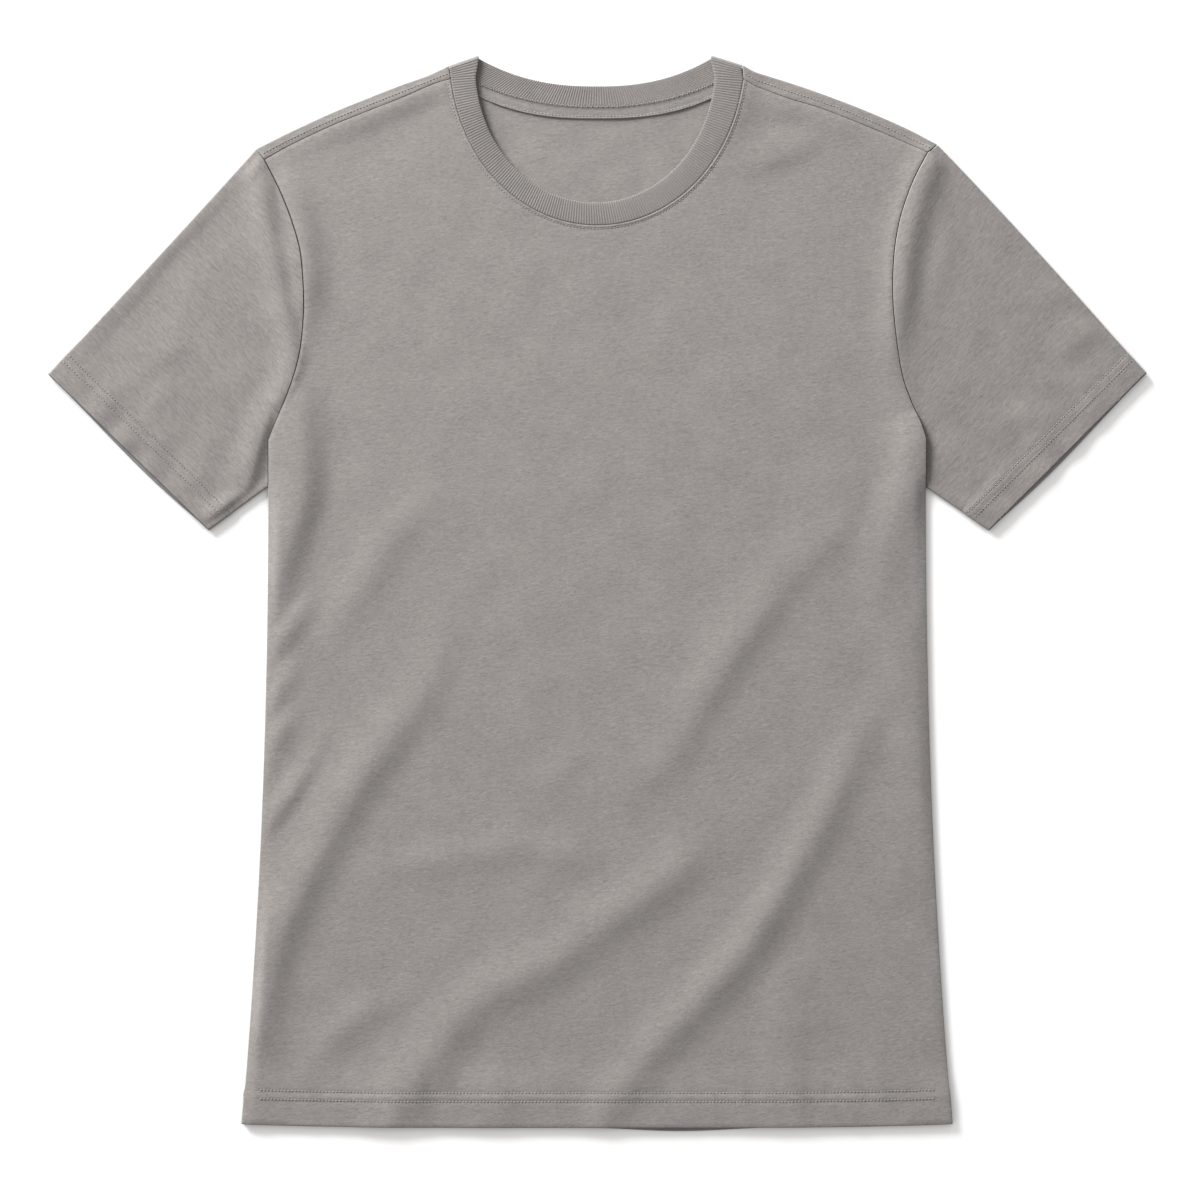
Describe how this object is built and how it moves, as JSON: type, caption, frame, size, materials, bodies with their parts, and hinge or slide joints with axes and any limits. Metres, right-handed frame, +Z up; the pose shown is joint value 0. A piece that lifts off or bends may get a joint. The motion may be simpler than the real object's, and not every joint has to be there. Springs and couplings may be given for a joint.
{
  "type": "crew neck t-shirt",
  "caption": "Short-sleeved crew neck t-shirt of grey jersey with a ribbed neckband, laid flat with its front up and soft diagonal folds.",
  "frame": {"origin": "on the surface the shirt lies on, on the body's centre line, half way between the hem and the top of the neck", "axes": "+X across the body towards the sleeve on the right of the picture, +Y from the hem to the neck, +Z up out of the front of the shirt"},
  "size_m": [0.7696, 0.7523, 0.006],
  "materials": {
    "jersey": "brushed cotton jersey in warm grey, matt, with short faint heather streaks along the courses",
    "rib": "1x1 cotton rib knit in the same grey, matt, ribs about 1 mm apart across the band",
    "tape": "self-fabric jersey tape in the same grey, matt, with a stitched edge"
  },
  "bodies": {
    "root": {"front": "jersey", "back": "jersey", "sleeve_left": "jersey", "sleeve_right": "jersey", "collar": "rib", "neck_tape": "tape"}
  },
  "joints": []
}
